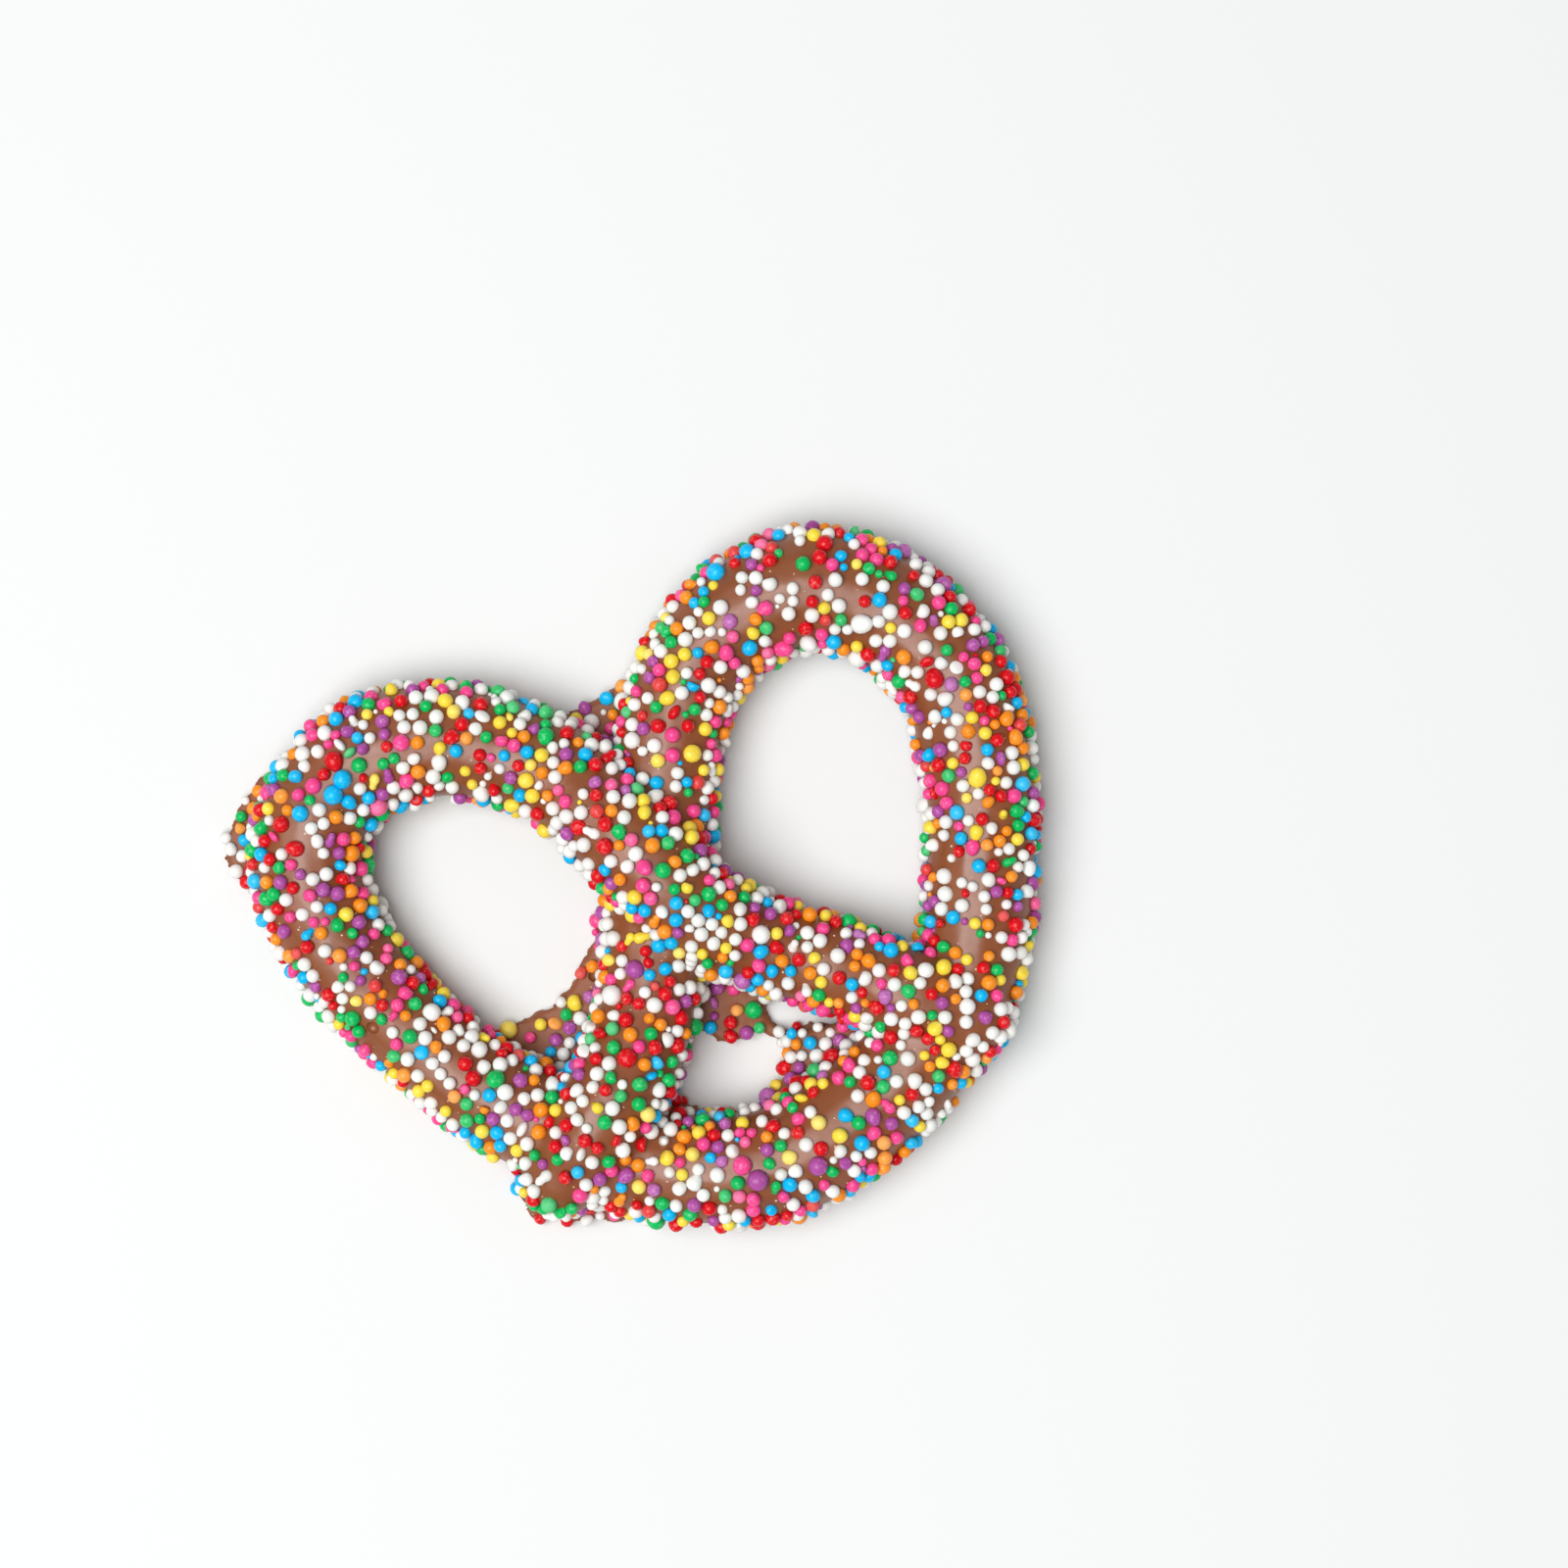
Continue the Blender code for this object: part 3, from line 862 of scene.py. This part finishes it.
set_pearls, pearl_inputs = pearl_tree()
for seed, (colour, (_, tint, speck)) in enumerate(PEARL_COLOURS.items()):
    chosen = colour_of == colour
    name = f"pearls_{colour}"
    points = scattered_points(
        name, centres[chosen], radii[chosen], form_of[chosen], tone_of[chosen]
    )
    values = {
        "Forms": form_collection,
        "Least round": LEAST_ROUND,
        "Skin grain": SKIN_GRAIN * PEARL_RADIUS * MM,
        "Seed": seed,
        "Finish": sugar(name, tint, speck),
    }
    pearls = set_with(set_pearls, pearl_inputs, name, points, values)
    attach(pearls, "root")
for form in list(form_collection.objects):
    bpy.data.objects.remove(form)
bpy.data.collections.remove(form_collection)

# ------------------------------------------------------------------------ the chocolate crumbs
# Crumbs of milk chocolate, matt where they broke, that cling to the edges of the ledges since
# these broke from the sheet.

CHIPS_PER_SQUARE_MM = 1.1
CHIP_RADIUS = (0.07, 0.26)
CHIP_SEED = 3
CHIP_GRAIN = 0.8


def broken_chocolate():
    """Matt chocolate as it shows where it broke."""
    material, recipe, shader = finish("broken_chocolate", Roughness=0.62, IOR=1.46)
    place = recipe.node("ShaderNodeTexCoord").outputs["Object"]
    fine = recipe.grain(place, CHIP_GRAIN, 3.0)
    coloured = recipe.blend(fine, CHOCOLATE_DARK, CHOCOLATE_BROKEN)
    recipe.tree.links.new(coloured, shader.inputs["Base Color"])
    return material


def crumb_tree():
    """Geometry Nodes that strew crumbs over a surface where its points are marked for them, but
    for those that would reach below the table."""
    recipe, given, identifiers = new_tree(
        "strew_crumbs",
        {
            "Crumb": "NodeSocketObject",
            "Density": "NodeSocketFloat",
            "Smallest": "NodeSocketFloat",
            "Largest": "NodeSocketFloat",
            "Seed": "NodeSocketInt",
            "Finish": "NodeSocketMaterial",
        },
    )
    mark = recipe.number(
        "GeometryNodeInputNamedAttribute", 0, {"data_type": "FLOAT"}, {"Name": "strewn"}
    )
    fallen = recipe.node(
        "GeometryNodeDistributePointsOnFaces",
        {},
        {
            "Mesh": given["Geometry"],
            "Density": mark * Signal(recipe.tree, given["Density"]),
            "Seed": given["Seed"],
        },
    ).outputs[0]
    place = recipe.node("GeometryNodeInputPosition").outputs[0]
    height = recipe.number("ShaderNodeSeparateXYZ", "Z", {}, {"Vector": place})
    too_low = recipe.node(
        "FunctionNodeCompare", {"operation": "LESS_THAN"}, {"A": height, "B": given["Largest"]}
    ).outputs[0]
    clinging = recipe.node(
        "GeometryNodeDeleteGeometry",
        {"domain": "POINT"},
        {"Geometry": fallen, "Selection": too_low},
    ).outputs[0]
    crumb = recipe.node("GeometryNodeObjectInfo", {}, {"Object": given["Crumb"]})
    set_down = recipe.node(
        "GeometryNodeInstanceOnPoints",
        {},
        {
            "Points": clinging,
            "Instance": crumb.outputs["Geometry"],
            "Rotation": random_turn(recipe, given["Seed"]),
            "Scale": random_vector(recipe, given["Smallest"], given["Largest"], given["Seed"]),
        },
    ).outputs[0]
    whole = recipe.node("GeometryNodeRealizeInstances", {}, {"Geometry": set_down}).outputs[0]
    coloured = recipe.node(
        "GeometryNodeSetMaterial", {}, {"Geometry": whole, "Material": given["Finish"]}
    ).outputs[0]
    recipe.node("NodeGroupOutput", {}, {"Geometry": coloured})
    return recipe.tree, identifiers


def strewn(name, marks, density, radius, seed, material):
    """A piece of crumbs on the coat: how thick they lie at each point, their size and material."""
    shell = bmesh.new()
    bmesh.ops.create_icosphere(shell, subdivisions=1, radius=1.0)
    crumb = bpy.data.objects.new("crumb", mesh_of(shell, "crumb"))
    ground = coat.data.copy()
    mark_points(ground, "strewn", marks)
    values = {
        "Crumb": crumb,
        "Density": density / MM**2,
        "Smallest": radius[0] * MM,
        "Largest": radius[1] * MM,
        "Seed": seed,
        "Finish": material,
    }
    crumbs = set_with(strew_crumbs, crumb_inputs, name, ground, values)
    bpy.data.objects.remove(crumb)
    return crumbs


strew_crumbs, crumb_inputs = crumb_tree()
broken_marks = [
    mark.value * (vertex.co.z > FOOT_RIM * MM)
    for mark, vertex in zip(coat.data.attributes["broken"].data, coat.data.vertices)
]
chips = strewn(
    "chocolate_crumbs",
    broken_marks,
    CHIPS_PER_SQUARE_MM,
    CHIP_RADIUS,
    CHIP_SEED,
    broken_chocolate(),
)
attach(chips, "root")

# ---------------------------------------------------------------------------- the sugar crumbs
# Dust and splinters of broken sugar pearls, pale and grainy, which stuck in the soft chocolate
# all over the coat between the whole ones.

CRUMBS_PER_SQUARE_MM = 0.09
CRUMB_RADIUS = (0.05, 0.17)
CRUMB_SEED = 5
CRUMB_TINT = (0.80, 0.60, 0.44)
CRUMB_SPECK = (0.92, 0.84, 0.76)

upper_marks = [max(0.0, vertex.normal.z) for vertex in coat.data.vertices]
crumbs = strewn(
    "sugar_crumbs",
    upper_marks,
    CRUMBS_PER_SQUARE_MM,
    CRUMB_RADIUS,
    CRUMB_SEED,
    sugar("sugar_crumbs", CRUMB_TINT, CRUMB_SPECK),
)
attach(crumbs, "root")

# ---------------------------------------------------------------------------------- the studio
# A pale floor, a bright even room and one large soft lamp. The camera looks straight down, as
# the photograph does. Its sizes are in metres.

FLOOR_SIZE = 6.0
FLOOR_TINT = (0.735, 0.75, 0.745)
ROOM_LIGHT = 0.3
LAMP_PLACE = (-0.52, 0.02, 1.55)
LAMP_SIZE = 1.4
LAMP_POWER = 31.4

VIEW_WIDTH = 0.1684          # what the picture's width spans at the height of the strands
VIEW_HEIGHT_OF_STRANDS = 0.006
VIEW_MIDDLE = (0.0156, 0.0086)
VIEW_TURN = -22.8            # degrees about Z
LENS = 100.0
SENSOR = 36.0

shell = bmesh.new()
bmesh.ops.create_grid(shell, x_segments=1, y_segments=1, size=FLOOR_SIZE / 2)
floor = add_object("floor", mesh_of(shell, "floor"))
paper, _, _ = finish("pale_floor", Base_Color=(*FLOOR_TINT, 1.0), Roughness=0.6)
floor.data.materials.append(paper)

room = bpy.data.worlds.new("room")
room.use_nodes = True
backdrop = room.node_tree.nodes["Background"]
backdrop.inputs["Color"].default_value = (1.0, 1.0, 1.0, 1.0)
backdrop.inputs["Strength"].default_value = ROOM_LIGHT
bpy.context.scene.world = room

lamp_data = bpy.data.lights.new("soft_lamp", "AREA")
lamp_data.shape = "DISK"
lamp_data.size = LAMP_SIZE
lamp_data.energy = LAMP_POWER
lamp = add_object("soft_lamp", lamp_data)
lamp.location = LAMP_PLACE
lamp.rotation_euler = (-Vector(LAMP_PLACE)).to_track_quat("-Z", "Y").to_euler()

camera_data = bpy.data.cameras.new("camera")
camera_data.lens = LENS
camera_data.sensor_width = SENSOR
camera = add_object("camera", camera_data)
camera.location = (*VIEW_MIDDLE, VIEW_HEIGHT_OF_STRANDS + VIEW_WIDTH * LENS / SENSOR)
camera.rotation_euler = (0.0, 0.0, math.radians(VIEW_TURN))
bpy.context.scene.camera = camera
bpy.context.scene.view_settings.view_transform = "Standard"
